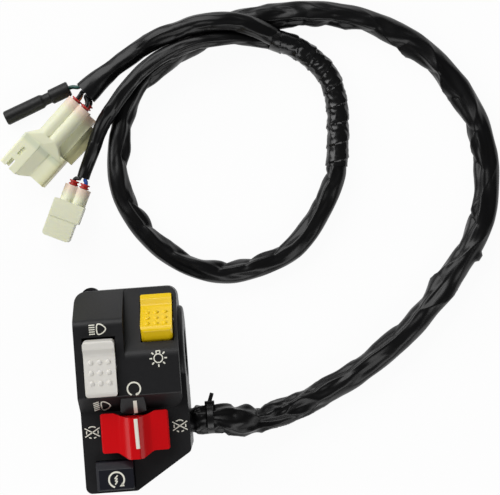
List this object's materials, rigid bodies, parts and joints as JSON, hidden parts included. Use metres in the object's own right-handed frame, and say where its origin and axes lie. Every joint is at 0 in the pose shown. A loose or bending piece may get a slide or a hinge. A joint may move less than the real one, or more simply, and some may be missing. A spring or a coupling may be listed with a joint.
{
  "type": "handlebar switch cluster",
  "caption": "Two-piece clamped handlebar switch housing with dimmer and light rockers, a stop knob, a start button and a sheathed loom that ends in plugs.",
  "frame": {"origin": "middle of the handlebar bore, on the parting plane of the two halves", "axes": "+X along the bar towards the loom, +Y up the switch face, +Z out of the face"},
  "size_m": [0.2278, 0.2153, 0.0519],
  "materials": {
    "housing_black": "satin moulded plastic with a fine grain",
    "inner_black": "plain moulded plastic",
    "ivory_plastic": "smooth moulded plastic",
    "yellow_plastic": "glossy moulded plastic",
    "red_plastic": "glossy moulded plastic",
    "button_black": "satin moulded plastic",
    "carriage_plastic": "unfilled nylon",
    "board": "paper laminate",
    "steel": "zinc-plated steel",
    "brass": "bare brass",
    "contact_metal": "bare copper alloy",
    "terminal": "tinned brass",
    "sheath": "soft glossy vinyl, creased",
    "tape": "vinyl tape, wrapped",
    "tie": "nylon",
    "wire_black": "wire insulation",
    "wire_green": "wire insulation",
    "wire_blue": "wire insulation",
    "sleeve": "soft vinyl sleeve",
    "nylon": "translucent natural nylon",
    "seal_red": "silicone rubber"
  },
  "bodies": {
    "housing": {"front_housing": "housing_black", "rear_housing": "housing_black", "housing_screws": "steel", "board_screws": "steel", "cable_clamp": "inner_black", "clamp_screws": "steel", "dimmer_pivot_pin": "steel", "dimmer_contact_board": "board", "dimmer_fixed_contacts": "brass", "light_pivot_pin": "steel", "light_contact_board": "board", "light_fixed_contacts": "brass", "stop_pivot_pin": "steel", "stop_contact_board": "board", "stop_fixed_contacts": "brass", "start_return_spring": "steel", "start_contact_board": "board", "start_fixed_contacts": "brass", "inner_wires": "wire_black", "loom_sheath": "sheath", "loom_tie": "tie", "branch_tape": "tape", "main_branch_sheath": "sheath", "small_branch_sheath": "sheath", "bullet_wire": "wire_green", "main_plug_wires": "wire_black", "small_plug_wires": "wire_blue", "bullet_sleeve": "sleeve", "bullet_terminal": "brass", "main_plug_housing": "nylon", "main_plug_terminals": "terminal", "main_plug_seals": "seal_red", "small_plug_housing": "nylon", "small_plug_terminals": "terminal", "small_plug_seals": "seal_red"},
    "dimmer_rocker": {"dimmer_rocker": "ivory_plastic"},
    "light_rocker": {"light_rocker": "yellow_plastic"},
    "stop_knob": {"stop_knob": "red_plastic"},
    "start_button": {"start_button": "button_black", "start_contact_bridge": "contact_metal"},
    "dimmer_carriage": {"dimmer_carriage": "carriage_plastic", "dimmer_moving_contact": "contact_metal", "dimmer_detent_ball": "steel", "dimmer_detent_spring": "steel"},
    "light_carriage": {"light_carriage": "carriage_plastic", "light_moving_contact": "contact_metal", "light_detent_ball": "steel", "light_detent_spring": "steel"},
    "stop_carriage": {"stop_carriage": "carriage_plastic", "stop_moving_contact": "contact_metal", "stop_detent_ball": "steel", "stop_detent_spring": "steel"}
  },
  "joints": [
    {"name": "dimmer_rock", "type": "hinge", "parent": "housing", "child": "dimmer_rocker", "pos_m": [-0.013, -0.0022, 0.0275], "axis": [1, 0, 0], "range_deg": [-16, 0]},
    {"name": "dimmer_carriage_slide", "type": "slide", "parent": "housing", "child": "dimmer_carriage", "axis": [0, 1, 0], "range_m": [-0.0012, 0]},
    {"name": "light_rock", "type": "hinge", "parent": "housing", "child": "light_rocker", "pos_m": [0.0127, 0.01569, 0.01558], "axis": [1, 0, 0], "range_deg": [0, 16]},
    {"name": "light_carriage_slide", "type": "slide", "parent": "housing", "child": "light_carriage", "axis": [0, 0.766, -0.6428], "range_m": [0, 0.0012]},
    {"name": "stop_rock", "type": "hinge", "parent": "housing", "child": "stop_knob", "pos_m": [0, -0.03195, 0.0175], "axis": [0, 1, 0], "range_deg": [-12, 12]},
    {"name": "stop_carriage_slide", "type": "slide", "parent": "housing", "child": "stop_carriage", "axis": [-1, 0, 0], "range_m": [-0.0009, 0.0009]},
    {"name": "start_press", "type": "slide", "parent": "housing", "child": "start_button", "axis": [0, 0, -1], "range_m": [0, 0.003], "stiffness_N_per_m": 600, "springref_m": -0.004, "deforming": ["start_return_spring"]}
  ],
  "couplings": [
    {"joint": "dimmer_carriage_slide", "follows": "dimmer_rock", "m_per_rad": 0.0043},
    {"joint": "light_carriage_slide", "follows": "light_rock", "m_per_rad": 0.0043},
    {"joint": "stop_carriage_slide", "follows": "stop_rock", "m_per_rad": 0.0043}
  ]
}
